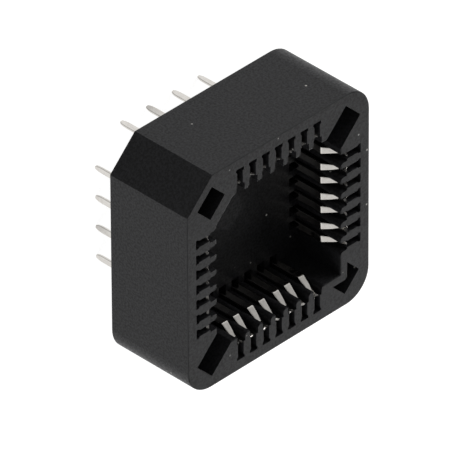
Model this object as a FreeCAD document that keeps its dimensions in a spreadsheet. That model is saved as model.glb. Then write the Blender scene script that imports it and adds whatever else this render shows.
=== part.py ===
"""A through-hole socket for a 28 lead PLCC package.

The socket is one black moulding with a square cavity, open at the top, and seven stamped contacts along each
of its four sides. All sizes are millimetres. +Z points up, out of the cavity. The origin is at the middle of
the board surface that the standoffs rest on, so the solder tails reach below it. The keyed corner, with the
large chamfer, is at -X and +Y.

Every contact slot and contact is drawn once for the +Y side, with +X along the side and +Y outwards, and is
then turned by quarter turns about Z.
"""

import FreeCAD, Part
import math
import os
import Sketcher

from FreeCAD import Placement, Rotation, Vector

# Driving dimensions, those of the housing first
SIZES = {
    "body_width": 18.04,
    "body_height": 7.5,
    "standoff_height": 0.4,
    "standoff_width": 1.6,
    "standoff_inset": 2.4,
    "edge_radius": 0.08,
    "corner_radius": 2.27,
    "key_chamfer": 2.46,
    "cavity_width": 12.3,
    "cavity_depth": 4.3,
    "cavity_chamfer": 1.65,
    "outer_wall": 0.87,
    "floor_thickness": 1.2,
    # the pad on the cavity floor that runs to the keyed corner
    "pad_height": 0.5,
    "pad_front_offset": 0.4,
    "pad_front_width": 2.06,
    "pad_middle_offset": 2.9,
    "pad_middle_width": 3.6,
    "pad_back_width": 1.8,
    # the pockets in the mating face and the slots for an extraction tool
    "pocket_width": 2.03,
    "pocket_length": 1.8,
    "pocket_depth": 4.0,
    "pocket_wall": 0.97,
    "corner_wall": 0.65,
    "corner_wall_radius": 0.3,
    "extraction_width": 2.05,
    "extraction_reach": 10.45,
    "extraction_depth": 5.5,
    "extraction_overrun": 0.45,
    # the contact slots
    "contact_pitch": 1.27,
    "contacts_per_side": 7,
    "slot_width": 0.56,
    "flare_width": 0.77,
    "flare_depth": 0.24,
    "flare_slope": 0.06,
    "guide_length": 0.64,
    "guide_near_step": 0.08,
    "guide_far_step": 0.17,
    "mouth_small_radius": 0.08,
    "mouth_large_radius": 0.28,
    "chamber_width": 0.72,
    "chamber_reach": 0.73,
    "fit_gap": 0.05,
    # the contacts
    "stock_thickness": 0.18,
    "strip_width": 0.56,
    "contact_lean": 0.07,
    "leg_drop": 1.3,
    "arm_protrusion": 0.25,
    "arm_top_drop": 2.3,
    "crest_protrusion": 0.32,
    "crest_drop": 1.72,
    "slope_reach": 0.5,
    "slope_drop": 0.78,
    "tip_reach": 0.66,
    "tip_drop": 0.12,
    "bend_radius": 0.1,
    "tip_width": 0.4,
    "taper_drop": 1.5,
    "taper_end_drop": 0.86,
    "notch_width": 0.14,
    "notch_depth": 0.09,
    # the solder tails
    "tail_width": 0.5,
    "tail_length": 3.7,
    "inner_tail_length": 3.35,
    "tail_taper": 0.75,
    "tail_tip_width": 0.34,
    "tail_tip_radius": 0.14,
    "outer_ring": 6.35,
    "inner_ring": 3.81,
}

# Quarter turn of each side, clockwise from the +Y side
QUARTER_TURNS = (0, -90, 180, 90)

# Turn that points a sketch's own Y axis at the keyed corner
KEY_TURN = 45


class Measure:
    """A length that knows both its value and the spreadsheet expression that gives it."""

    def __init__(self, value, text):
        self.value = value
        self.text = text

    def _join(self, other, sign, value):
        text = other.text if isinstance(other, Measure) else repr(other)
        return Measure(value, f"({self.text} {sign} {text})")

    def __add__(self, other):
        return self._join(other, "+", self.value + plain(other))

    def __sub__(self, other):
        return self._join(other, "-", self.value - plain(other))

    def __mul__(self, other):
        return self._join(other, "*", self.value * plain(other))

    def __truediv__(self, other):
        return self._join(other, "/", self.value / plain(other))

    def __neg__(self):
        return self * -1

    def root(self):
        """The square root."""
        return Measure(math.sqrt(self.value), f"sqrt({self.text})")


def plain(measure):
    """The plain number of a measure or of a number."""
    return measure.value if isinstance(measure, Measure) else measure


def size(alias):
    """One driving dimension as a measure."""
    return Measure(SIZES[alias], f"Sizes.{alias}")


def make_sheet(doc):
    """The spreadsheet with the driving dimensions, one row for each."""
    sheet = doc.addObject("Spreadsheet::Sheet", "Sizes")
    for row, (alias, value) in enumerate(SIZES.items(), start=1):
        sheet.set(f"A{row}", alias)
        sheet.set(f"B{row}", str(value))
        sheet.setAlias(f"B{row}", alias)
    return sheet


def origin_plane(body, role):
    """The body's own origin plane with the given role."""
    return next(plane for plane in body.Origin.OriginFeatures if plane.Role == role)


def bind(thing, path, measure):
    """Bind one property of a document object to the sheet."""
    thing.setExpression(path, plain_text(measure))


def plain_text(measure):
    """The expression of a measure or of a number."""
    return measure.text if isinstance(measure, Measure) else repr(measure)


def new_sketch(body, name, role, height=0.0, turn=0.0):
    """A sketch on one origin plane of the body, raised by a height and turned about the plane's normal."""
    sketch = body.newObject("Sketcher::SketchObject", name)
    sketch.AttachmentSupport = (origin_plane(body, role), "")
    sketch.MapMode = "FlatFace"
    sketch.AttachmentOffset = Placement(Vector(0, 0, plain(height)), Rotation(Vector(0, 0, 1), turn))
    if isinstance(height, Measure):
        bind(sketch, "AttachmentOffset.Base.z", height)
    return sketch


def pin_point(sketch, edge, end, point):
    """Hold one end of a sketch edge at a point given by two measures."""
    for kind, measure in (("DistanceX", point[0]), ("DistanceY", point[1])):
        index = sketch.addConstraint(Sketcher.Constraint(kind, -1, 1, edge, end, plain(measure)))
        bind(sketch, f"Constraints[{index}]", measure)


def draw(sketch, corners, closed=True):
    """Draw an outline through the corners, each a pair of measures.

    A corner with a third entry, a measure, is reached by an arc of that radius instead of a line. A positive
    radius turns left on the way to the corner, a negative one turns right.
    """
    count = len(corners)
    first = len(sketch.Geometry)
    last = count if closed else count - 1
    for index in range(last):
        start, end = corners[index], corners[(index + 1) % count]
        a = Vector(plain(start[0]), plain(start[1]), 0)
        b = Vector(plain(end[0]), plain(end[1]), 0)
        if len(end) == 3:
            sketch.addGeometry(arc_between(a, b, plain(end[2])), False)
        else:
            sketch.addGeometry(Part.LineSegment(a, b), False)
    for index in range(last):
        edge = first + index
        start, end = corners[index], corners[(index + 1) % count]
        pin_point(sketch, edge, start_of(sketch, edge, start), start)
        following = first + (index + 1) % last
        if closed or index < last - 1:
            ends = (edge, end_of(sketch, edge, start), following, start_of(sketch, following, end))
            sketch.addConstraint(Sketcher.Constraint("Coincident", *ends))
        else:
            pin_point(sketch, edge, end_of(sketch, edge, start), end)
        if len(end) == 3:
            radius = end[2] if plain(end[2]) > 0 else -end[2]
            number = sketch.addConstraint(Sketcher.Constraint("Radius", edge, plain(radius)))
            bind(sketch, f"Constraints[{number}]", radius)


def arc_between(a, b, radius):
    """A short arc from a to b. It turns left for a positive radius and right for a negative one."""
    chord = b - a
    middle = (a + b) * 0.5
    rise = math.sqrt(max(radius ** 2 - (chord.Length / 2) ** 2, 0))
    left = Vector(-chord.y, chord.x, 0).normalize()
    side = math.copysign(1, radius)
    centre = middle + left * (side * rise)
    crown = centre - left * (side * abs(radius))
    return Part.Arc(a, crown, b)


def start_of(sketch, edge, corner):
    """Which end of a sketch edge, 1 or 2, lies at the corner: an arc may run the other way round."""
    point = Vector(plain(corner[0]), plain(corner[1]), 0)
    return 1 if sketch.getPoint(edge, 1).distanceToPoint(point) < 1e-6 else 2


def end_of(sketch, edge, corner):
    """The other end of the edge."""
    return 3 - start_of(sketch, edge, corner)


def rectangle(left, right, low, high):
    """The corners of an upright rectangle."""
    return [(left, low), (right, low), (right, high), (left, high)]


def add_feature(body, kind, name, sketch, length, reverse=False):
    """A pad or pocket of a sketch by a bound length."""
    feature = body.newObject(kind, name)
    feature.Profile = sketch
    feature.Length = plain(length)
    bind(feature, "Length", length)
    feature.Reversed = reverse
    feature.Refine = False
    body.Tip = feature
    return feature


def cut(body, name, sketch, depth, reverse=False):
    """A pocket that must take material away."""
    feature = add_feature(body, "PartDesign::Pocket", name, sketch, depth, reverse)
    body.Document.recompute([sketch, feature])
    if feature.Shape.Volume > feature.BaseFeature.Shape.Volume - 1e-6:
        raise RuntimeError(f"{name} cuts nothing")
    return feature


def row_step(body, name, sketch, spacing, count):
    """One step of a pattern: copies along the sketch's own X axis."""
    step = body.newObject("PartDesign::LinearPattern", name)
    step.Direction = (sketch, ["H_Axis"])
    step.Mode = "Spacing"
    step.Offset = plain(spacing)
    bind(step, "Offset", spacing)
    step.Occurrences = round(plain(count))
    bind(step, "Occurrences", count)
    return step


def mirror_step(body, name, sketch):
    """One step of a pattern: a mirror image in the upright plane through the sketch's own Y axis."""
    step = body.newObject("PartDesign::Mirrored", name)
    step.MirrorPlane = (sketch, ["V_Axis"])
    return step


def quarter_step(body, name):
    """One step of a pattern: a copy on each of the four sides."""
    step = body.newObject("PartDesign::PolarPattern", name)
    step.Axis = (origin_plane(body, "Z_Axis"), [""])
    step.Angle = 360
    step.Occurrences = len(QUARTER_TURNS)
    return step


def repeat(body, name, features, steps):
    """Repeat features through the steps of a pattern."""
    pattern = body.newObject("PartDesign::MultiTransform", name)
    pattern.Originals = features
    pattern.Transformations = steps
    pattern.Refine = False
    body.Tip = pattern
    body.Document.recompute()
    return pattern


def dress(body, kind, name, base, edges, amount, prop):
    """A fillet or chamfer on some edges of the feature before it."""
    feature = body.newObject(kind, name)
    feature.Base = (base, edges)
    setattr(feature, prop, plain(amount))
    bind(feature, prop, amount)
    body.Tip = feature
    body.Document.recompute()
    return feature


def upright_edges(shape, x_side, y_side):
    """Names of the upright edges in one quadrant of the outline."""
    names = []
    for number, edge in enumerate(shape.Edges, start=1):
        middle = edge.CenterOfMass
        upright = abs(edge.tangentAt(edge.FirstParameter).z) > 0.99
        if upright and middle.x * x_side > 0 and middle.y * y_side > 0:
            names.append(f"Edge{number}")
    return names


def level_edges(shape, height, reach=math.inf):
    """Names of the edges that lie flat at a height, within a reach from the middle in X and in Y."""
    names = []
    for number, edge in enumerate(shape.Edges, start=1):
        ends = [vertex.Point for vertex in edge.Vertexes]
        flat = all(abs(point.z - height) < 1e-4 for point in ends)
        if flat and all(max(abs(point.x), abs(point.y)) < reach for point in ends):
            names.append(f"Edge{number}")
    return names


def heights():
    """The levels that several pieces share."""
    face = size("standoff_height") + size("body_height")
    return {
        "underside": size("standoff_height"),
        "face": face,
        "floor": face - size("cavity_depth"),
        "chamber": size("standoff_height") + size("floor_thickness"),
    }


def slot_end():
    """Distance from the middle to the outer end of a contact slot."""
    return size("body_width") / 2 - size("outer_wall")


def first_place():
    """Place of the first contact of a side, along the side."""
    return (size("contacts_per_side") - 1) * size("contact_pitch") * -0.5


def make_block(body):
    """The square block with its keyed chamfer, its rounded corners and its softened rims."""
    level = heights()
    half = size("body_width") / 2
    sketch = new_sketch(body, "BlockOutline", "XY_Plane", level["underside"])
    draw(sketch, rectangle(-half, half, -half, half))
    block = add_feature(body, "PartDesign::Pad", "Block", sketch, size("body_height"))
    body.Document.recompute()
    key = dress(body, "PartDesign::Chamfer", "KeyChamfer", block, upright_edges(block.Shape, -1, 1),
                size("key_chamfer"), "Size")
    corners = upright_edges(key.Shape, 1, 1) + upright_edges(key.Shape, -1, -1)
    corners += upright_edges(key.Shape, 1, -1)
    rounded = dress(body, "PartDesign::Fillet", "RoundCorners", key, corners, size("corner_radius"), "Radius")
    rims = level_edges(rounded.Shape, plain(level["face"]))
    rims += level_edges(rounded.Shape, plain(level["underside"]))
    dress(body, "PartDesign::Fillet", "SoftRims", rounded, rims, size("edge_radius"), "Radius")


def make_cavity(body):
    """The cavity for the package, with its keyed corner and its softened rim, and the pad on its floor."""
    level = heights()
    half = size("cavity_width") / 2
    key = size("cavity_chamfer")
    sketch = new_sketch(body, "CavityOutline", "XY_Plane", level["face"])
    draw(sketch, [(-half, -half), (half, -half), (half, half), (key - half, half), (-half, half - key)])
    cavity = cut(body, "Cavity", sketch, size("cavity_depth"))
    inside = plain(half) + SIZES["edge_radius"]
    rim = level_edges(cavity.Shape, plain(level["face"]), inside)
    dress(body, "PartDesign::Fillet", "CavityRim", cavity, rim, size("edge_radius"), "Radius")

    front, middle = size("pad_front_width") / 2, size("pad_middle_width") / 2
    back = size("pad_back_width") / 2
    pad_sketch = new_sketch(body, "PadOutline", "XY_Plane", level["floor"], KEY_TURN)
    draw(pad_sketch, [
        (-front, size("pad_front_offset")),
        (front, size("pad_front_offset")),
        (middle, size("pad_middle_offset")),
        (back, key_wall()),
        (-back, key_wall()),
        (-middle, size("pad_middle_offset")),
    ])
    add_feature(body, "PartDesign::Pad", "FloorPad", pad_sketch, size("pad_height"))


def key_wall():
    """Distance from the middle to the cavity wall across the keyed corner."""
    return (size("cavity_width") - size("cavity_chamfer")) / Measure(2, "2").root()


def make_corner_features(body):
    """The closed pocket at the keyed corner, the one behind the corner wall, and the extraction slots."""
    level = heights()
    root = Measure(2, "2").root()
    cavity = size("cavity_width") / 2
    half = size("pocket_width") / 2
    near = key_wall() + size("pocket_wall")
    far = near + size("pocket_length")
    sketch = new_sketch(body, "KeyPocketOutline", "XY_Plane", level["face"], KEY_TURN)
    draw(sketch, rectangle(-half, half, near, far))
    cut(body, "KeyPocket", sketch, size("pocket_depth"))

    wall = cavity + size("corner_wall")
    bend = size("corner_wall_radius")
    run = half * root
    out_far, out_near = (far + half) / root, (far - half) / root
    chevron = new_sketch(body, "FarPocketOutline", "XY_Plane", level["face"])
    draw(chevron, [
        (wall, run - wall),
        (wall, bend - wall),
        (wall - bend, -wall, -bend),
        (wall - run, -wall),
        (out_near, -out_far),
        (out_far, -out_near),
    ])
    cut(body, "FarPocket", chevron, size("pocket_depth"))

    side = size("extraction_width") / 2
    start = cavity * root - side - size("extraction_overrun")
    for name, turn in (("Right", KEY_TURN - 90), ("Left", KEY_TURN + 90)):
        slot = new_sketch(body, f"{name}ExtractionOutline", "XY_Plane", level["face"], turn)
        draw(slot, rectangle(-side, side, start, size("extraction_reach")))
        cut(body, f"{name}Extraction", slot, size("extraction_depth"))


def slot_outline(large_far):
    """The first contact slot of a side from above: rounded mouth, wide guide, throat and flared outer end.

    The guide widens more on its far side, towards +X.
    """
    middle = first_place()
    wall = size("cavity_width") / 2
    inside = wall - size("fit_gap")
    throat = size("slot_width") / 2
    near = throat + size("guide_near_step")
    far = throat + size("guide_far_step")
    large, small = size("mouth_large_radius"), size("mouth_small_radius")
    near_round, far_round = (small, large) if large_far else (large, small)
    guide_end = wall + size("guide_length")
    flare = size("flare_width") / 2
    flare_start = slot_end() - size("flare_depth")
    throat_end = flare_start - size("flare_slope")
    corners = [
        (far + far_round, inside),
        (far + far_round, wall),
        (far, wall + far_round, -far_round),
        (far, guide_end),
        (throat, guide_end),
        (throat, throat_end),
        (flare, flare_start),
        (flare, slot_end()),
        (-flare, slot_end()),
        (-flare, flare_start),
        (-throat, throat_end),
        (-throat, guide_end),
        (-near, guide_end),
        (-near, wall + near_round),
        (-near - near_round, wall, -near_round),
        (-near - near_round, inside),
    ]
    return [(corner[0] + middle,) + tuple(corner[1:]) for corner in corners]


def make_first_slot(body, name, turn, large_far):
    """The room of the first contact of one side: its slot, the chamber below it and the hole for its tail."""
    level = heights()
    middle = first_place()
    wall = size("cavity_width") / 2
    gap = size("fit_gap")
    sketch = new_sketch(body, f"{name}SlotOutline", "XY_Plane", level["chamber"], turn)
    draw(sketch, slot_outline(large_far))
    slot = add_feature(body, "PartDesign::Pad", f"{name}Slot", sketch, level["face"] - level["chamber"] + gap)

    half = size("chamber_width") / 2
    lower = new_sketch(body, f"{name}ChamberOutline", "XY_Plane", level["chamber"], turn)
    draw(lower, rectangle(middle - half, middle + half, wall - size("chamber_reach"), slot_end()))
    chamber = add_feature(body, "PartDesign::Pad", f"{name}Chamber", lower, level["floor"] - level["chamber"])

    hole = size("tail_width") / 2 + gap
    blade = size("stock_thickness") / 2 + gap
    ring = size("outer_ring")
    through = new_sketch(body, f"{name}HoleOutline", "XY_Plane", level["chamber"], turn)
    draw(through, rectangle(middle - hole, middle + hole, ring - blade, ring + blade))
    opening = add_feature(body, "PartDesign::Pad", f"{name}Hole", through, size("floor_thickness") + gap,
                          reverse=True)
    return [slot, chamber, opening], sketch


def channel_outline(middle, margin):
    """The angled run of an inner tail seen from below, grown by a margin: first along Y, then along X."""
    half = size("tail_width") / 2 + margin
    start = size("outer_ring") + size("stock_thickness") / 2 + margin
    ring = size("inner_ring")
    jog = size("contact_pitch")
    return [
        (middle - half, start),
        (middle - half, ring - half),
        (middle + jog + half, ring - half),
        (middle + jog + half, ring + half),
        (middle + half, ring + half),
        (middle + half, start),
    ]


def make_channels(body):
    """Angled channels in the underside for the tails that are led to the inner ring of board holes."""
    level = heights()
    pitch = size("contact_pitch")
    depth = size("stock_thickness") + size("fit_gap") * 2
    sketch = new_sketch(body, "ChannelOutline", "XY_Plane", level["underside"])
    draw(sketch, channel_outline(first_place() + pitch, size("fit_gap")))
    channel = cut(body, "Channel", sketch, depth, reverse=True)
    inner_count = (size("contacts_per_side") - 1) / 2
    row = row_step(body, "ChannelRow", sketch, pitch * 2, inner_count)
    repeat(body, "Channels", [channel], [row, quarter_step(body, "ChannelSides")])


def make_standoffs(body):
    """Four square standoffs that keep the underside clear of the board."""
    half = size("body_width") / 2
    outer = half - size("standoff_inset")
    inner = outer - size("standoff_width")
    for number, (x_side, y_side) in enumerate(((1, 1), (-1, 1), (-1, -1), (1, -1)), start=1):
        sketch = new_sketch(body, f"StandoffOutline{number}", "XY_Plane")
        draw(sketch, rectangle(inner * x_side, outer * x_side, inner * y_side, outer * y_side))
        add_feature(body, "PartDesign::Pad", f"Standoff{number}", sketch, size("standoff_height"))


def make_slot_rooms(doc, name, turn, large_far):
    """The rooms of the contacts on one side and on its mirror image across the keyed corner."""
    body = doc.addObject("PartDesign::Body", f"{name}Rooms")
    features, sketch = make_first_slot(body, name, turn, large_far)
    diagonal = new_sketch(body, f"{name}Diagonal", "XY_Plane", turn=KEY_TURN)
    row = row_step(body, f"{name}Row", sketch, size("contact_pitch"), size("contacts_per_side"))
    repeat(body, f"{name}Slots", features, [row, mirror_step(body, f"{name}Mirror", diagonal)])
    return body


def make_housing(doc):
    """The moulded housing. Its slots are the same on each pair of sides that meets across the keyed corner."""
    block = doc.addObject("PartDesign::Body", "Moulding")
    make_block(block)
    make_cavity(block)
    make_corner_features(block)
    make_standoffs(block)
    make_channels(block)
    rooms = doc.addObject("Part::Compound", "Rooms")
    rooms.Links = [make_slot_rooms(doc, "Top", 0, False), make_slot_rooms(doc, "Right", -90, True)]
    housing = doc.addObject("Part::Cut", "housing")
    housing.Base = block
    housing.Tool = rooms
    housing.Refine = False
    doc.recompute()
    return housing


def strip_path():
    """Middle line of a contact in its own upright plane: distance from the middle, then height."""
    level = heights()
    half = size("stock_thickness") / 2
    leg = slot_end() - half
    wall = size("cavity_width") / 2 + half
    bottom = level["chamber"] + half
    face = level["face"]
    return [
        (leg, face - size("leg_drop")),
        (leg, bottom),
        (wall - size("arm_protrusion"), bottom),
        (wall - size("arm_protrusion"), face - size("arm_top_drop")),
        (wall - size("crest_protrusion"), face - size("crest_drop")),
        (wall + size("slope_reach"), face - size("slope_drop")),
        (wall + size("tip_reach"), face - size("tip_drop")),
    ]


def make_strip(body, place):
    """The bent strip: retaining leg, foot, spring arm, crest, lead-in slope and tip."""
    half = size("stock_thickness") / 2
    half_width = size("strip_width") / 2
    path = strip_path()
    leg = path[0][0]
    route = new_sketch(body, f"{body.Name}Route", "YZ_Plane", place)
    draw(route, path, closed=False)
    section = new_sketch(body, f"{body.Name}Section", "XY_Plane", path[0][1])
    draw(section, rectangle(place - half_width, place + half_width, leg - half, leg + half))
    strip = body.newObject("PartDesign::AdditivePipe", f"{body.Name}Strip")
    strip.Profile = section
    strip.Spine = (route, [f"Edge{number}" for number in range(1, len(path))])
    strip.Transition = "Right corner"
    body.Tip = strip
    body.Document.recompute()

    names = []
    bends = [Vector(plain(place), plain(y), plain(z)) for y, z in path[1:-1]]
    for number, edge in enumerate(strip.Shape.Edges, start=1):
        across = abs(edge.tangentAt(edge.FirstParameter).x) > 0.99
        nearest = min(edge.CenterOfMass.distanceToPoint(bend) for bend in bends)
        if across and nearest < SIZES["stock_thickness"]:
            names.append(f"Edge{number}")
    dress(body, "PartDesign::Fillet", f"{body.Name}Bends", strip, names, size("bend_radius"), "Radius")


def trim_ends(body, place):
    """Taper the strip to its tip, and notch the tip."""
    level = heights()
    wide = size("strip_width")
    start = wide / 2
    tip = size("tip_width") / 2
    low = level["face"] - size("taper_drop")
    narrow = level["face"] - size("taper_end_drop")
    high = level["face"] - size("tip_drop")
    sketch = new_sketch(body, f"{body.Name}TaperOutline", "XZ_Plane")
    draw(sketch, [(place + start, low), (place + wide, low), (place + wide, level["face"]),
                  (place + tip, level["face"]), (place + tip, narrow)])
    draw(sketch, [(place - start, low), (place - tip, narrow), (place - tip, level["face"]),
                  (place - wide, level["face"]), (place - wide, low)])
    reach = size("cavity_width") / 2 + size("tip_reach") + size("stock_thickness") * 2
    cut(body, f"{body.Name}Taper", sketch, reach)

    notch = size("notch_width") / 2
    floor = high - size("notch_depth")
    ends = new_sketch(body, f"{body.Name}NotchOutline", "XZ_Plane")
    draw(ends, rectangle(place - notch, place + notch, floor, level["face"]))
    cut(body, f"{body.Name}Notch", ends, reach)


def blade_outline(middle, low, high):
    """A tail blade seen from its flat side. Its flanks curve in to a rounded tip at its low side."""
    half = size("tail_width") / 2
    tip = size("tail_tip_width") / 2
    bend = size("tail_tip_radius")
    taper = size("tail_taper")
    narrowing = half - tip
    rise = taper - bend
    flank = (narrowing * narrowing + rise * rise) / (narrowing * 2)
    return [
        (middle + tip - bend, low),
        (middle + tip, low + bend, bend),
        (middle + half, low + taper, flank),
        (middle + half, high),
        (middle - half, high),
        (middle - half, low + taper),
        (middle - tip, low + bend, flank),
        (middle - tip + bend, low, bend),
    ]


def add_blade(body, name, corners, ring):
    """An upright blade at a distance from the middle, drawn from its flat side."""
    sketch = new_sketch(body, f"{body.Name}{name}Outline", "XZ_Plane", size("stock_thickness") / 2 - ring)
    draw(sketch, corners)
    add_feature(body, "PartDesign::Pad", f"{body.Name}{name}", sketch, size("stock_thickness"), reverse=True)


def make_outer_tail(body, place):
    """A tail that drops straight to the outer ring of board holes."""
    foot = heights()["chamber"] + size("stock_thickness") / 2
    add_blade(body, "Tail", blade_outline(place, -size("tail_length"), foot), size("outer_ring"))


def make_inner_tail(body, place):
    """A tail that is led under the housing to the inner ring of board holes."""
    level = heights()
    half = size("tail_width") / 2
    thickness = size("stock_thickness")
    foot = level["chamber"] + thickness / 2
    run = level["underside"] + size("fit_gap")
    add_blade(body, "Drop", rectangle(place - half, place + half, run, foot), size("outer_ring"))
    lead = new_sketch(body, f"{body.Name}LeadOutline", "XY_Plane", run)
    draw(lead, channel_outline(place, 0.0))
    add_feature(body, "PartDesign::Pad", f"{body.Name}Lead", lead, thickness)
    end = place + size("contact_pitch")
    outline = blade_outline(end, -size("inner_tail_length"), run + thickness / 2)
    add_blade(body, "Tail", outline, size("inner_ring"))


def make_contact(doc, name, side, index):
    """One contact, drawn for the +Y side and turned to its own side.

    The strips lean in turn to either side of their slots, while the tails keep the even spacing.
    """
    body = doc.addObject("PartDesign::Body", name)
    place = first_place() + size("contact_pitch") * index
    lean = size("contact_lean") if index % 2 else -size("contact_lean")
    make_strip(body, place + lean)
    trim_ends(body, place + lean)
    if index % 2:
        make_inner_tail(body, place)
    else:
        make_outer_tail(body, place)
    body.Placement = Placement(Vector(0, 0, 0), Rotation(Vector(0, 0, 1), QUARTER_TURNS[side]))
    return body


def check(doc):
    """Stop if any object failed to build."""
    for thing in doc.Objects:
        if "Invalid" in thing.State or "Error" in thing.State:
            raise RuntimeError(f"{thing.Name} failed: {thing.State}")


def export(nodes):
    """Write each sub-part to its own file."""
    for node in nodes:
        if node.Shape.isNull() or not node.Shape.isValid() or len(node.Shape.Solids) != 1:
            raise RuntimeError(f"{node.Label} is not one valid solid")
    os.makedirs("parts", exist_ok=True)
    for node in nodes:
        node.Shape.exportStep(f"parts/{node.Label}.step")
        print(node.Label, "volume", round(node.Shape.Volume, 4))


def main():
    doc = FreeCAD.newDocument("Socket")
    make_sheet(doc)
    nodes = [make_housing(doc)]
    for side in range(len(QUARTER_TURNS)):
        for index in range(SIZES["contacts_per_side"]):
            nodes.append(make_contact(doc, f"contact_{len(nodes):02d}", side, index))
    doc.recompute()
    check(doc)
    export(nodes)


main()
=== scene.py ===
"""Looks for a 28 position through-hole PLCC socket, laid out as a Blender add-on.

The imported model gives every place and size. The housing keeps its moulded shape and gets the finish of a
black glass-filled thermoplastic. Each contact gives way to one with rounded edges, in the finish of a
stamped copper alloy strip under bright tin. Lengths are in millimetres, and MM turns them into metres.
"""

import math

import bpy
import numpy as np
from mathutils import Euler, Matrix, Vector


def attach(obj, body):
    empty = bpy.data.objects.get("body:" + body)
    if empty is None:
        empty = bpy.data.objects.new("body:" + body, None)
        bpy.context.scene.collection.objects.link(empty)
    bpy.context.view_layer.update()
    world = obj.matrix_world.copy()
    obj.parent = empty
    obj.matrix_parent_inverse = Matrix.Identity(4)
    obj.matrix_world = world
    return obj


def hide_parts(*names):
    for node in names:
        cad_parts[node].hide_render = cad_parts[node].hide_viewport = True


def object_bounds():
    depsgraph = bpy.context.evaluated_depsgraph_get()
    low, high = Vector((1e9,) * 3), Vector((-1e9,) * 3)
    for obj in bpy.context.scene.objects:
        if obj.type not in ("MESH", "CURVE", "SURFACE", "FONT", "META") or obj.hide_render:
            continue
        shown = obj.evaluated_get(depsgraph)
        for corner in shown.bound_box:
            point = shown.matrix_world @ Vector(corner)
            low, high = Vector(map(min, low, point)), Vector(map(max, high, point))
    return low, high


bl_info = {
    "name": "Chip Carrier Socket",
    "version": (1, 0, 0),
    "blender": (4, 5, 0),
    "location": "3D View > Sidebar > Socket",
    "description": "Finishes and studio for a through-hole chip carrier socket",
    "category": "Object",
}

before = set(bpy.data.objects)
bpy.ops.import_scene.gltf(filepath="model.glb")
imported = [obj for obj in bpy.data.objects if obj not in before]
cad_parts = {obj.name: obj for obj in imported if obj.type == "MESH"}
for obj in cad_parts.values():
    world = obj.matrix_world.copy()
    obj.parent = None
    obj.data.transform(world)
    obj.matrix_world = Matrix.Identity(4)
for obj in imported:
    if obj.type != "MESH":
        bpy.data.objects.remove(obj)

# A millimetre in metres, the one body that every piece rides on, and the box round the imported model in
# metres
MM = 0.001
BODY = "root"
CAD_BOX = [list(corner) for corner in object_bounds()]

# The housing: half its side, the height of its mating face, and the radius of the rim round that face
HALF_SIDE = 9.02
MATING_FACE = 7.9
RIM_RADIUS = 0.08

# The painted highlight on the rim begins a radius in from the edge, and is full at this share of the radius
RIM_HIGHLIGHT_FADE = 0.6

# The contacts: how many stand on a side, their spacing, the two rings of board holes, the heights of the
# foot, of the runs under the housing and of the tail ends, and the width of a tail
PLACES = 7
PITCH = 1.27
OUTER_RING = 6.35
INNER_RING = 3.81
FOOT = 1.69
LEAD = 0.54
OUTER_END = -3.7
INNER_END = -3.35
TAIL = 0.5

# The middle line of a contact strip as distance from the socket's middle and height: retaining leg, foot,
# spring arm, crest, lead-in slope and tip, and the bend radius at each of its corners
STRIP_ROUTE = (
    (8.06, 6.6), (8.06, FOOT), (5.99, FOOT), (5.99, 5.6), (5.92, 6.18), (6.74, 7.12), (6.9, 7.78),
)
STRIP_BENDS = (0.2, 0.2, 0.6, 0.12, 0.2)

# The two heights between which the strip narrows and its full width at each, and the length and end width
# of a tail's rounded point
STRIP_TAPER = ((6.2, 6.9), (0.56, 0.42))
TAIL_POINT = (0.75, 0.12)

# How far apart the sections of an upright strip and of a level run stand at most, how many of them round an
# end, the length over which the hollow of a tip fades, the bend radius of a level run, and the angle in
# degrees from which an edge is sharp
STRIP_SPACING = 0.1
RUN_SPACING = 0.2
END_SECTIONS = 4
HOLLOW_LENGTH = 0.2
RUN_BEND = 0.2
SHARP_ANGLE = 40.0

# The tails are turned unevenly: contact n by the set twist times sin(step n + start)
TWIST_STEP = 2.55
TWIST_START = 0.33

# The values of a noise between which a finish goes over from its one state to the other: sharply, softly
# and over nearly all of the surface
SHARP_BAND = (0.4, 0.6)
SOFT_BAND = (0.35, 0.65)
FULL_BAND = (0.3, 0.7)

# The change in roughness at the two ends of the band, the change in tone that the clouding makes, and the
# depth of the relief
PLASTIC_SPREAD = (0.12, -0.12)
TIN_SPREAD = (-0.03, 0.04)
CLOUD_SHADE = (0.93, 1.07)
RELIEF_DEPTH = 0.01

# The numbers of the random cells, each from 0 to 1, between which cells begin to hold a speck of dust
DUST_CHOSEN = (0.9, 0.91)


def linear(hex_colour):
    """A colour written as sRGB hex, turned to linear red, green, blue and alpha."""
    channels = [int(hex_colour[place:place + 2], 16) / 255 for place in (1, 3, 5)]
    curve = [c / 12.92 if c <= 0.04045 else ((c + 0.055) / 1.055) ** 2.4 for c in channels]
    return (*curve, 1.0)


def add_node(tree, kind, settings=None, **inputs):
    """Add a node, set its properties, then set or link its inputs.

    An input is called by its name, with underscores for spaces, or by pin and its number.
    """
    node = tree.nodes.new(kind)
    for name, value in (settings or {}).items():
        setattr(node, name, value)
    for name, value in inputs.items():
        number = name[3:]
        socket = node.inputs[int(number)] if name.startswith("pin") else node.inputs[name.replace("_", " ")]
        if isinstance(value, bpy.types.NodeSocket):
            tree.links.new(value, socket)
        else:
            socket.default_value = value
    return node


def new_material(name):
    """An empty material with its output node, and the object coordinates in millimetres."""
    material = bpy.data.materials.new(name)
    material.use_nodes = True
    tree = material.node_tree
    tree.nodes.clear()
    output = add_node(tree, "ShaderNodeOutputMaterial")
    place = add_node(tree, "ShaderNodeTexCoord").outputs["Object"]
    scaled = add_node(tree, "ShaderNodeVectorMath", {"operation": "SCALE"}, pin0=place, Scale=1 / MM)
    return material, tree, output, scaled.outputs["Vector"]


def ramp(tree, value, source, target):
    """Map a value from one range to another, kept within it."""
    node = add_node(tree, "ShaderNodeMapRange", {"clamp": True}, Value=value, From_Min=source[0],
                    From_Max=source[1], To_Min=target[0], To_Max=target[1])
    return node.outputs["Result"]


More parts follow.
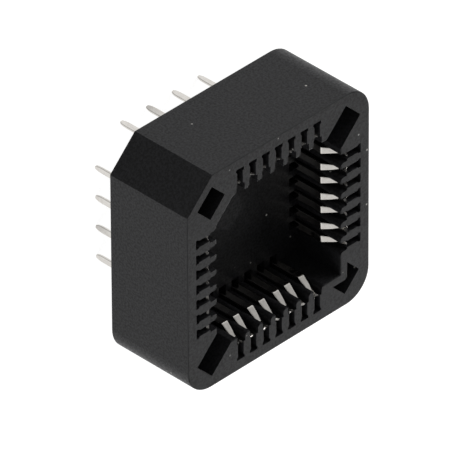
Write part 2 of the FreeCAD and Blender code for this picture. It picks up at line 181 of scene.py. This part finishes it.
def calculate(tree, operation, *values):
    """The outcome of a calculation with one or two values."""
    inputs = {f"pin{place}": value for place, value in enumerate(values)}
    return add_node(tree, "ShaderNodeMath", {"operation": operation}, **inputs).outputs[0]


def moulded_plastic(settings):
    """Black glass-filled polyester, injection moulded: a dense matt black with a grain of glass fibres.

    Patches where fibres lie at the skin are lighter and smoother than the resin between them, so the black
    reads as charcoal, finely speckled and cloudy over a few millimetres.
    """
    material, tree, output, place = new_material("Black glass-filled polyester, moulded")
    # Fibre ends are about 0.02 mm wide, finer than a pixel, so the patches that they form are drawn instead
    grain = add_node(tree, "ShaderNodeTexNoise", Vector=place, Scale=1 / settings.grain, Detail=3.0,
                     Roughness=0.6).outputs["Fac"]
    cloud = add_node(tree, "ShaderNodeTexNoise", Vector=place, Scale=1 / settings.cloud, Detail=2.0,
                     Roughness=0.5).outputs["Fac"]
    speck = ramp(tree, grain, SHARP_BAND, (0.0, 1.0))
    base = add_node(tree, "ShaderNodeMix", {"data_type": "RGBA"}, Factor=speck,
                    pin6=linear(settings.colour_low), pin7=linear(settings.colour_high)).outputs[2]
    shade = ramp(tree, cloud, FULL_BAND, CLOUD_SHADE)
    tone = add_node(tree, "ShaderNodeVectorMath", {"operation": "SCALE"}, pin0=base, Scale=shade)
    # Painted highlight: the rounded rim of the mating face is lightened to the rim tone
    rim_highlighted = add_node(tree, "ShaderNodeMix", {"data_type": "RGBA"}, Factor=painted_rim_highlight(tree, place),
                    pin6=tone.outputs["Vector"], pin7=linear(settings.colour_rim_highlight)).outputs[2]
    dusty = add_node(tree, "ShaderNodeMix", {"data_type": "RGBA"}, Factor=dust(tree, place, settings),
                     pin6=rim_highlighted, pin7=linear(settings.colour_dust)).outputs[2]
    rough = ramp(tree, grain, FULL_BAND, [settings.roughness + change for change in PLASTIC_SPREAD])
    relief = add_node(tree, "ShaderNodeBump", Strength=settings.relief, Distance=RELIEF_DEPTH * MM,
                      Height=grain)
    surface = add_node(tree, "ShaderNodeBsdfPrincipled", Base_Color=dusty, Roughness=rough,
                       IOR=1.55, Specular_IOR_Level=settings.specular, Normal=relief.outputs["Normal"])
    tree.links.new(surface.outputs["BSDF"], output.inputs["Surface"])
    return material


def painted_rim_highlight(tree, place):
    """1 on the rounded rim between the mating face and the four sides, lightened there by a painted
    highlight, 0 elsewhere.
    """
    apart = add_node(tree, "ShaderNodeSeparateXYZ", Vector=place)
    x, y = (calculate(tree, "ABSOLUTE", apart.outputs[axis]) for axis in ("X", "Y"))
    far_out = calculate(tree, "MAXIMUM", x, y)
    full = RIM_RADIUS * RIM_HIGHLIGHT_FADE
    at_side = ramp(tree, far_out, (HALF_SIDE - RIM_RADIUS, HALF_SIDE - full), (0.0, 1.0))
    at_top = ramp(tree, apart.outputs["Z"], (MATING_FACE - RIM_RADIUS, MATING_FACE - full), (0.0, 1.0))
    return calculate(tree, "MULTIPLY", at_side, at_top)


def dust(tree, place, settings):
    """1 on a few pale specks of dust, 0 elsewhere: round spots at the points of some random cells."""
    cells = add_node(tree, "ShaderNodeTexVoronoi", Vector=place, Scale=1 / settings.dust_spacing)
    spot = settings.dust_width / settings.dust_spacing / 2
    near = ramp(tree, cells.outputs["Distance"], (spot / 2, spot), (1.0, 0.0))
    number = add_node(tree, "ShaderNodeSeparateColor", Color=cells.outputs["Color"]).outputs["Red"]
    chosen = ramp(tree, number, DUST_CHOSEN, (0.0, 1.0))
    return calculate(tree, "MULTIPLY", near, chosen)


def tin_plate(settings):
    """Bright tin, electroplated on a rolled copper alloy strip: silver white with a soft, faint bloom."""
    material, tree, output, place = new_material("Bright tin plate on copper alloy strip")
    bloom = add_node(tree, "ShaderNodeTexNoise", Vector=place, Scale=1 / settings.bloom, Detail=3.0,
                     Roughness=0.55).outputs["Fac"]
    clean = ramp(tree, bloom, SOFT_BAND, (0.0, 1.0))
    tone = add_node(tree, "ShaderNodeMix", {"data_type": "RGBA"}, Factor=clean,
                    pin6=linear(settings.colour_low), pin7=linear(settings.colour_high)).outputs[2]
    rough = ramp(tree, bloom, FULL_BAND, [settings.roughness + change for change in TIN_SPREAD])
    relief = add_node(tree, "ShaderNodeBump", Strength=settings.relief, Distance=RELIEF_DEPTH * MM,
                      Height=bloom)
    surface = add_node(tree, "ShaderNodeBsdfPrincipled", Base_Color=tone, Metallic=1.0, Roughness=rough,
                       Normal=relief.outputs["Normal"])
    tree.links.new(surface.outputs["BSDF"], output.inputs["Surface"])
    return material


def dress(node, material):
    """Put a finish on a node of the model in place of its plain one."""
    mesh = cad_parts[node].data
    mesh.materials.clear()
    mesh.materials.append(material)


class HousingSettings(bpy.types.PropertyGroup):
    colour_low: bpy.props.StringProperty(
        name="Dark tone", description="sRGB hex of the resin between fibres", default="#121213")
    colour_high: bpy.props.StringProperty(
        name="Light tone", description="sRGB hex where fibres lie at the skin", default="#232325")
    colour_dust: bpy.props.StringProperty(
        name="Dust tone", description="sRGB hex of the specks of dust", default="#b4b2ae")
    # The rim tone is a painted highlight, lighter than the black, laid on the rounded rim of the mating
    # face
    colour_rim_highlight: bpy.props.StringProperty(
        name="Rim tone", description="sRGB hex of the rim of the mating face, rubbed lighter",
        default="#303031")
    grain: bpy.props.FloatProperty(
        name="Grain", description="Width of one patch of fibres in millimetres", default=0.17, min=0.01)
    cloud: bpy.props.FloatProperty(
        name="Cloud", description="Width of the soft clouding in millimetres", default=3.0, min=0.1)
    dust_spacing: bpy.props.FloatProperty(
        name="Dust spacing", description="Width of the cells that may hold a speck, in millimetres",
        default=0.8, min=0.1)
    dust_width: bpy.props.FloatProperty(
        name="Dust width", description="Width of a speck of dust in millimetres", default=0.2, min=0.01)
    roughness: bpy.props.FloatProperty(
        name="Roughness", description="How matt the skin is", default=0.45, min=0, max=1, subtype="FACTOR")
    specular: bpy.props.FloatProperty(
        name="Specular level", description="Strength of the skin's gloss", default=0.19, min=0, max=1,
        subtype="FACTOR")
    relief: bpy.props.FloatProperty(
        name="Relief", description="Strength of the fibre relief", default=0.2, min=0, max=1,
        subtype="FACTOR")


class ContactSettings(bpy.types.PropertyGroup):
    colour_low: bpy.props.StringProperty(
        name="Dark tone", description="sRGB hex of the plate in its bloom", default="#d3cfca")
    colour_high: bpy.props.StringProperty(
        name="Light tone", description="sRGB hex of the clean plate", default="#dedbd6")
    bloom: bpy.props.FloatProperty(
        name="Bloom", description="Width of the plate's soft patches in millimetres", default=0.3, min=0.01)
    roughness: bpy.props.FloatProperty(
        name="Roughness", description="How satin the plate is", default=0.13, min=0, max=1,
        subtype="FACTOR")
    relief: bpy.props.FloatProperty(
        name="Relief", description="Strength of the plate's relief", default=0.03, min=0, max=1,
        subtype="FACTOR")
    thickness: bpy.props.FloatProperty(
        name="Thickness", description="Thickness of the strip in millimetres", default=0.18, min=0.05)
    edge: bpy.props.FloatProperty(
        name="Edge radius", description="How far the strip's edges are rounded, in millimetres",
        default=0.035, min=0.01)
    coining: bpy.props.FloatProperty(
        name="Coining", description="How far the strip's tip is thinned, in millimetres",
        default=0.01, min=0.0)
    horns: bpy.props.FloatProperty(
        name="Horns", description="How far the tip is hollowed between its corners, in millimetres",
        default=0.22, min=0.0)
    twist: bpy.props.FloatProperty(
        name="Twist", description="How far the tail ends are turned at most, as stamping leaves them",
        default=math.radians(14), subtype="ANGLE")
    lean: bpy.props.FloatProperty(
        name="Lean", description="How far the contacts stand off their slots' middles, in millimetres",
        default=0.07)


class StudioSettings(bpy.types.PropertyGroup):
    camera_place: bpy.props.FloatVectorProperty(
        name="Camera place", description="In millimetres from the part's origin", size=3,
        default=(-476.755, 485.0, 475.569))
    camera_turn: bpy.props.FloatVectorProperty(
        name="Camera turn", description="Turn about X, Y and Z", size=3, subtype="EULER",
        default=tuple(math.radians(angle) for angle in (-35.6427, -45.4209, -0.3756)))
    focal_length: bpy.props.FloatProperty(
        name="Focal length", description="In millimetres, on a sensor 36 mm wide", default=951.63)
    floor_half: bpy.props.FloatProperty(
        name="Floor half side", description="Half the side of the square floor in millimetres",
        default=600.0)
    backdrop_colour: bpy.props.StringProperty(
        name="Backdrop", description="sRGB hex of the floor and backdrop", default="#ffffff")
    paper_colour: bpy.props.StringProperty(
        name="Paper", description="sRGB hex of the light that the floor's paper sends back",
        default="#a8a8a8")
    paper_glow: bpy.props.FloatProperty(
        name="Paper glow", description="Level at which the paper shows where it is in full shadow",
        default=0.9)
    ambient: bpy.props.FloatProperty(
        name="Ambient light", description="Level of the light from all round", default=0.3)
    lamp_distance: bpy.props.FloatProperty(
        name="Lamp distance", description="In millimetres from the part", default=300.0)
    lamp_width: bpy.props.FloatProperty(
        name="Lamp width", description="Side of each square lamp in millimetres", default=220.0)


# Each lamp: its name, the direction that it stands in, its level, where 1 lights a facing surface fully,
# and whether gloss shows it
LAMPS = (
    ("Lamp_left", (-1.0, -1.0, 0.25), 0.8, False),
    ("Lamp_back", (1.0, 1.0, 0.25), 0.95, False),
    ("Lamp_right", (1.0, -1.0, 0.02), 0.46, True),
)

# The direction of the dark card, the angles from it in degrees where it begins and ends to fade, and its
# level
CARD = (-1.0, 1.0, -1.0)
CARD_REACH = (42.0, 60.0)
CARD_SHOWS = 0.45

# The way up to the ceiling, which hangs a little lower towards +X and +Y, the elevations in degrees between
# which the white walls fade to it, and its level
CEILING = (0.055, 0.055, 1.0)
CEILING_REACH = (18.5, 52.0)
CEILING_SHOWS = 0.05

# The width of the camera's sensor in millimetres, and how near and how far it sees, in metres
SENSOR = 36.0
SIGHT = (0.01, 5.0)


class SOCKET_OT_housing(bpy.types.Operator):
    """Finish the moulded housing"""
    bl_idname = "socket.housing"
    bl_label = "Housing"

    def execute(self, context):
        dress("housing", moulded_plastic(context.scene.socket_housing))
        return {"FINISHED"}


def rounded_route(corners, radii, arc_steps=7):
    """Points of a route whose inner corners are arcs.

    An arc of radius r at a corner that turns by t touches both runs r tan(t / 2) from the corner. Its
    points are centre + r (cos a u + sin a v), with u from the centre to the first touching point, v along
    the run that comes in, and a from 0 to t.
    """
    corners = np.asarray(corners, dtype=float)
    runs = np.diff(corners, axis=0)
    along = runs / np.linalg.norm(runs, axis=1, keepdims=True)
    before, after = along[:-1], along[1:]
    turn = np.arccos(np.clip(np.sum(before * after, axis=1), -1, 1))
    radii = np.broadcast_to(radii, turn.shape)
    touch = corners[1:-1] - before * (radii * np.tan(turn / 2))[:, None]
    across = after - before * np.cos(turn)[:, None]
    across /= np.linalg.norm(across, axis=1, keepdims=True)
    centre = touch + across * radii[:, None]
    angle = turn[:, None] * np.linspace(0, 1, arc_steps)
    arcs = centre[:, None] + radii[:, None, None] * (
        np.sin(angle)[..., None] * before[:, None] - np.cos(angle)[..., None] * across[:, None])
    return np.vstack([corners[:1], arcs.reshape(-1, corners.shape[1]), corners[-1:]])


def along_route(route, spacing):
    """The route with more points added, none further apart than the spacing, and the length up to each."""
    steps = np.linalg.norm(np.diff(route, axis=0), axis=1)
    length = np.concatenate([[0.0], np.cumsum(steps)])
    even = np.linspace(0, length[-1], int(length[-1] / spacing) + 2)
    keep = np.concatenate([[True], np.diff(length) > 1e-6])
    length, route = length[keep], route[keep]
    marks = np.unique(np.round(np.concatenate([length, even]), 6))
    points = np.stack([np.interp(marks, length, route[:, axis]) for axis in range(route.shape[1])], axis=1)
    return points, marks


def strip_section(segments=3, inner_points=7):
    """The outline of a strip with rounded edges: for each point its side of the strip's middle across the
    width, its side across the thickness, and its place on the quarter circle there.

    Both flat faces carry a few more points, spread evenly between the rounded edges, to shape an end with.
    """
    angle = np.linspace(0, np.pi / 2, segments + 1)
    turned = np.concatenate([angle + quarter * np.pi / 2 for quarter in range(4)])
    arc = np.stack([np.cos(turned), np.sin(turned)], axis=1)
    signs = np.repeat([[1.0, 1.0], [-1.0, 1.0], [-1.0, -1.0], [1.0, -1.0]], segments + 1, axis=0)
    share = np.linspace(1, -1, inner_points + 2)[1:-1]
    top_signs = np.stack([share, np.ones_like(share)], axis=1)
    low_signs = np.stack([-share, -np.ones_like(share)], axis=1)
    top_arc = np.tile([0.0, 1.0], (inner_points, 1))
    first, half = segments + 1, 3 * (segments + 1)
    signs = np.vstack([signs[:first], top_signs, signs[first:half], low_signs, signs[half:]])
    arc = np.vstack([arc[:first], top_arc, arc[first:half], -top_arc, arc[half:]])
    return signs, arc


def swept_strip(route, widths, thickness, edge, coin=0.0, horns=0.0):
    """A flat strip carried along an upright route, as points and faces.

    The section at each point of the route is a rectangle with rounded edges of radius e, spanned by the X
    axis and the strip's face normal. Over the last length e before an end the half width and half thickness
    shrink by e (1 - sin f), where cos f = 1 - d / e and d is the distance to the end. A coined end isn't
    rounded: over the length of the coining its front face slopes back by that length. Horns are left
    where the middle of that end is hollowed by h cos(v)^2, with v from -90 to 90 degrees across the width.
    """
    points, length = along_route(route, STRIP_SPACING)
    near = edge * (1 - np.cos(np.linspace(0, np.pi / 2, END_SECTIONS)))
    marks = np.unique(np.round(np.concatenate([length, near, length[-1] - near, length[-1:] - coin]), 6))
    points = np.stack([np.interp(marks, length, points[:, axis]) for axis in range(3)], axis=1)
    tangent = np.gradient(points, marks, axis=0)
    tangent /= np.linalg.norm(tangent, axis=1, keepdims=True)
    side = np.array([1.0, 0.0, 0.0])
    normal = np.cross(tangent, side)
    to_end = marks[-1] - marks
    rounded = marks if coin else np.minimum(marks, to_end)
    inset = edge * (1 - np.sqrt(1 - np.clip(1 - rounded / edge, 0, 1) ** 2))
    slope_back = np.clip(coin - to_end, 0, None) / 2
    half_width = widths(points) / 2 - inset
    half_thick = thickness / 2 - inset - slope_back
    small = np.minimum(edge, np.minimum(half_width, half_thick))[:, None]
    signs, arc = strip_section()
    across = signs[:, 0] * (half_width[:, None] - small) + arc[:, 0] * small
    up = signs[:, 1] * (half_thick[:, None] - small) + arc[:, 1] * small + slope_back[:, None]
    hollow = horns * np.cos(across / half_width[:, None] * np.pi / 2) ** 2
    hollow *= np.clip(1 - to_end / HOLLOW_LENGTH, 0, 1)[:, None]
    ring = points[:, None] + across[..., None] * side + up[..., None] * normal[:, None]
    return tube_faces(ring - hollow[..., None] * tangent[:, None])


def tube_faces(ring):
    """Close a stack of rings: quads between neighbours, and one flat cap at each end."""
    rows, columns = ring.shape[:2]
    index = np.arange(rows * columns).reshape(rows, columns)
    beside = np.roll(index, -1, axis=1)
    quads = np.stack([index[:-1], beside[:-1], beside[1:], index[1:]], axis=-1).reshape(-1, 4).tolist()
    return ring.reshape(-1, 3), quads + [index[0, ::-1].tolist(), index[-1].tolist()]


def join_shapes(shapes):
    """Several closed shapes as one list of points and faces."""
    points, faces, first = [], [], 0
    for shape_points, shape_faces in shapes:
        points.append(shape_points)
        faces += [[corner + first for corner in face] for face in shape_faces]
        first += len(shape_points)
    return np.vstack(points), faces


def twisted(shape, x, y, angle):
    """A tail turned about the upright line at x, y, by an angle that grows evenly down to its end."""
    points, faces = shape
    top, end = points[:, 2].max(), points[:, 2].min()
    turn = angle * (top - points[:, 2]) / (top - end)
    across, depth = points[:, 0] - x, points[:, 1] - y
    turned = np.stack([x + across * np.cos(turn) - depth * np.sin(turn),
                       y + across * np.sin(turn) + depth * np.cos(turn), points[:, 2]], axis=1)
    return turned, faces


def contact_shapes(settings, inner, shift, twist):
    """The strip and the tail of one contact at the middle of the +Y side, in millimetres.

    The tail's point is half an ellipse: its width grows from the end width as the square root of 1 - a^2,
    where a falls from 1 at the end to 0 where the point meets the even blade.
    """
    strip = rounded_route([(shift, distance, height) for distance, height in STRIP_ROUTE], STRIP_BENDS)
    tail_end = INNER_END if inner else OUTER_END

    def strip_width(points):
        return np.interp(points[:, 2], *STRIP_TAPER)

    def tail_width(points):
        reach, end = TAIL_POINT
        away = np.clip(1 - (points[:, 2] - tail_end) / reach, 0, 1)
        return end + (TAIL - end) * np.sqrt(1 - away ** 2)

    form = (settings.thickness, settings.edge)
    shapes = [swept_strip(strip, strip_width, *form, coin=settings.coining, horns=settings.horns)]
    half = settings.thickness / 2
    drop = np.array([(0.0, OUTER_RING, FOOT), (0.0, OUTER_RING, LEAD)])
    if not inner:
        tail = np.array([(0.0, OUTER_RING, LEAD + half), (0.0, OUTER_RING, tail_end)])
        return shapes + [swept_strip(drop, tail_width, *form),
                         twisted(swept_strip(tail, tail_width, *form), 0.0, OUTER_RING, twist)]
    lead = [(0.0, OUTER_RING + half, LEAD), (0.0, INNER_RING, LEAD), (PITCH + TAIL / 2, INNER_RING, LEAD)]
    tail = np.array([(PITCH, INNER_RING, LEAD + half), (PITCH, INNER_RING, tail_end)])
    return shapes + [swept_strip(drop, tail_width, *form), flat_run(lead, *form),
                     twisted(swept_strip(tail, tail_width, *form), PITCH, INNER_RING, twist)]


def flat_run(corners, thickness, edge):
    """An angled run cut from level strip: its section is carried along it in the level plane.

    Each point of the run carries a rounded rectangle that stands across it, so the strip stays level round
    the corner.
    """
    points, length = along_route(rounded_route(corners, RUN_BEND), RUN_SPACING)
    tangent = np.gradient(points, length, axis=0)
    tangent /= np.linalg.norm(tangent, axis=1, keepdims=True)
    up = np.array([0.0, 0.0, 1.0])
    side = np.cross(up, tangent)
    signs, arc = strip_section()
    across = signs[:, 0] * (TAIL / 2 - edge) + arc[:, 0] * edge
    rise = signs[:, 1] * (thickness / 2 - edge) + arc[:, 1] * edge
    ring = points[:, None] + across[None, :, None] * side[:, None] + rise[None, :, None] * up
    return tube_faces(ring)


def quarter_turned(points, turns):
    """Points turned clockwise about Z by a number of quarter turns."""
    angle = -turns * np.pi / 2
    cosine, sine = np.round((np.cos(angle), np.sin(angle)))
    x, y, z = points.T
    return np.stack([cosine * x - sine * y, sine * x + cosine * y, z], axis=1)


def add_contact(settings, plate, side, index):
    """One contact in its place, standing for the model's own."""
    number = side * PLACES + index + 1
    name = f"{number:02d}"
    inner = index % 2 == 1
    shift = settings.lean if inner else -settings.lean
    twist = settings.twist * math.sin(TWIST_STEP * number + TWIST_START)
    points, faces = join_shapes(contact_shapes(settings, inner, shift, twist))
    points[:, 0] += (index - (PLACES - 1) / 2) * PITCH
    mesh = bpy.data.meshes.new(f"Contact_{name}")
    mesh.from_pydata(quarter_turned(points, side) * MM, [], faces)
    mesh.shade_smooth()
    mesh.set_sharp_from_angle(angle=math.radians(SHARP_ANGLE))
    mesh.materials.append(plate)
    piece = bpy.data.objects.new(f"Contact_{name}", mesh)
    bpy.context.scene.collection.objects.link(piece)
    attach(piece, BODY)
    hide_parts(f"contact_{name}")


class SOCKET_OT_contacts(bpy.types.Operator):
    """Form the stamped contacts and finish them"""
    bl_idname = "socket.contacts"
    bl_label = "Contacts"

    def execute(self, context):
        settings = context.scene.socket_contacts
        plate = tin_plate(settings)
        for side in range(4):
            for index in range(PLACES):
                add_contact(settings, plate, side, index)
        return {"FINISHED"}


def shown_rays(tree):
    """1 for the rays that show the backdrop itself: camera, glossy and transmission rays."""
    path = add_node(tree, "ShaderNodeLightPath")
    first = calculate(tree, "MAXIMUM", path.outputs["Is Camera Ray"], path.outputs["Is Glossy Ray"])
    return calculate(tree, "MAXIMUM", first, path.outputs["Is Transmission Ray"])


def white_floor(settings):
    """Matt white paper: it shows as the backdrop does, and keeps the part's soft shadow."""
    material, tree, output, _ = new_material("Matt white paper")
    glow = add_node(tree, "ShaderNodeEmission", Color=linear(settings.backdrop_colour),
                    Strength=settings.paper_glow)
    paper = add_node(tree, "ShaderNodeBsdfDiffuse", Color=linear(settings.paper_colour))
    lit = add_node(tree, "ShaderNodeAddShader", pin0=glow.outputs[0], pin1=paper.outputs[0])
    mixed = add_node(tree, "ShaderNodeMixShader", pin0=shown_rays(tree), pin1=paper.outputs[0],
                     pin2=lit.outputs[0])
    tree.links.new(mixed.outputs[0], output.inputs["Surface"])
    return material


class SOCKET_OT_studio(bpy.types.Operator):
    """Floor, backdrop, lamps and camera"""
    bl_idname = "socket.studio"
    bl_label = "Studio"

    def execute(self, context):
        settings = context.scene.socket_studio
        add_floor(settings)
        add_backdrop(context.scene, settings)
        for name, direction, level, in_gloss in LAMPS:
            add_lamp(context.scene, settings, name, Vector(direction).normalized(), level, in_gloss)
        add_camera(context.scene, settings)
        context.scene.view_settings.view_transform = "Standard"
        return {"FINISHED"}


def add_floor(settings):
    """A square sheet of paper at the height of the lowest tail."""
    half = settings.floor_half * MM
    low = CAD_BOX[0][2]
    corners = [(-half, -half, low), (half, -half, low), (half, half, low), (-half, half, low)]
    mesh = bpy.data.meshes.new("Floor")
    mesh.from_pydata(corners, [], [(0, 1, 2, 3)])
    mesh.materials.append(white_floor(settings))
    floor = bpy.data.objects.new("Floor", mesh)
    floor.visible_glossy = False
    bpy.context.scene.collection.objects.link(floor)


def add_backdrop(scene, settings):
    """A world that shows white and lights the part at the ambient level.

    The part's gloss shows a room with white walls, a dark ceiling and a dark card low in front of the keyed
    corner. Both dark zones fade out softly.
    """
    world = bpy.data.worlds.new("Studio")
    world.use_nodes = True
    tree = world.node_tree
    tree.nodes.clear()
    output = add_node(tree, "ShaderNodeOutputWorld")
    direction = add_node(tree, "ShaderNodeTexCoord").outputs["Generated"]
    card = add_node(tree, "ShaderNodeVectorMath", {"operation": "DOT_PRODUCT"}, pin0=direction,
                    pin1=Vector(CARD).normalized())
    inner, outer = (math.cos(math.radians(angle)) for angle in CARD_REACH)
    beside_card = ramp(tree, card.outputs["Value"], (outer, inner), (1.0, CARD_SHOWS))
    rise = add_node(tree, "ShaderNodeVectorMath", {"operation": "DOT_PRODUCT"}, pin0=direction,
                    pin1=Vector(CEILING).normalized())
    low, high = (math.sin(math.radians(angle)) for angle in CEILING_REACH)
    walls = ramp(tree, rise.outputs["Value"], (low, high), (1.0, CEILING_SHOWS))
    room = calculate(tree, "MULTIPLY", beside_card, walls)
    path = add_node(tree, "ShaderNodeLightPath")
    seen = calculate(tree, "MAXIMUM", room, path.outputs["Is Camera Ray"])
    shown = add_node(tree, "ShaderNodeBackground", Color=linear(settings.backdrop_colour), Strength=seen)
    ambient = add_node(tree, "ShaderNodeBackground", Color=linear(settings.backdrop_colour),
                       Strength=settings.ambient)
    mixed = add_node(tree, "ShaderNodeMixShader", pin0=shown_rays(tree), pin1=ambient.outputs[0],
                     pin2=shown.outputs[0])
    tree.links.new(mixed.outputs[0], output.inputs["Surface"])
    scene.world = world


def add_lamp(scene, settings, name, direction, level, in_gloss):
    """A square lamp. Its power is pi squared times its squared distance for level 1.

    A lamp that gloss doesn't show lights the part only by its matt share, as through a diffuser.
    """
    distance = settings.lamp_distance * MM
    data = bpy.data.lights.new(name, "AREA")
    data.size = settings.lamp_width * MM
    data.energy = level * (math.pi * distance) ** 2
    lamp = bpy.data.objects.new(name, data)
    lamp.visible_glossy = in_gloss
    lamp.location = direction * distance
    lamp.rotation_euler = direction.to_track_quat("Z", "Y").to_euler()
    scene.collection.objects.link(lamp)


def add_camera(scene, settings):
    """The camera at the photograph's place."""
    data = bpy.data.cameras.new("Camera")
    data.sensor_width = SENSOR
    data.lens = settings.focal_length
    data.clip_start, data.clip_end = SIGHT
    camera = bpy.data.objects.new("Camera", data)
    camera.location = Vector(settings.camera_place) * MM
    camera.rotation_euler = Euler(settings.camera_turn)
    scene.collection.objects.link(camera)
    scene.camera = camera


STEPS = (SOCKET_OT_studio, SOCKET_OT_housing, SOCKET_OT_contacts)
GROUPS = (
    ("socket_housing", HousingSettings),
    ("socket_contacts", ContactSettings),
    ("socket_studio", StudioSettings),
)


class SOCKET_PT_panel(bpy.types.Panel):
    """The socket's settings and steps"""
    bl_label = "Chip Carrier Socket"
    bl_idname = "SOCKET_PT_panel"
    bl_space_type = "VIEW_3D"
    bl_region_type = "UI"
    bl_category = "Socket"

    def draw(self, context):
        for name, group in GROUPS:
            box = self.layout.box()
            for prop in group.__annotations__:
                box.prop(getattr(context.scene, name), prop)
        for step in STEPS:
            self.layout.operator(step.bl_idname)


def register():
    for name, group in GROUPS:
        bpy.utils.register_class(group)
        setattr(bpy.types.Scene, name, bpy.props.PointerProperty(type=group))
    for step in (*STEPS, SOCKET_PT_panel):
        bpy.utils.register_class(step)


def unregister():
    for step in reversed((*STEPS, SOCKET_PT_panel)):
        bpy.utils.unregister_class(step)
    for name, group in reversed(GROUPS):
        delattr(bpy.types.Scene, name)
        bpy.utils.unregister_class(group)


def main():
    register()
    bpy.ops.socket.studio()
    bpy.ops.socket.housing()
    bpy.ops.socket.contacts()


if __name__ == "__main__":
    main()
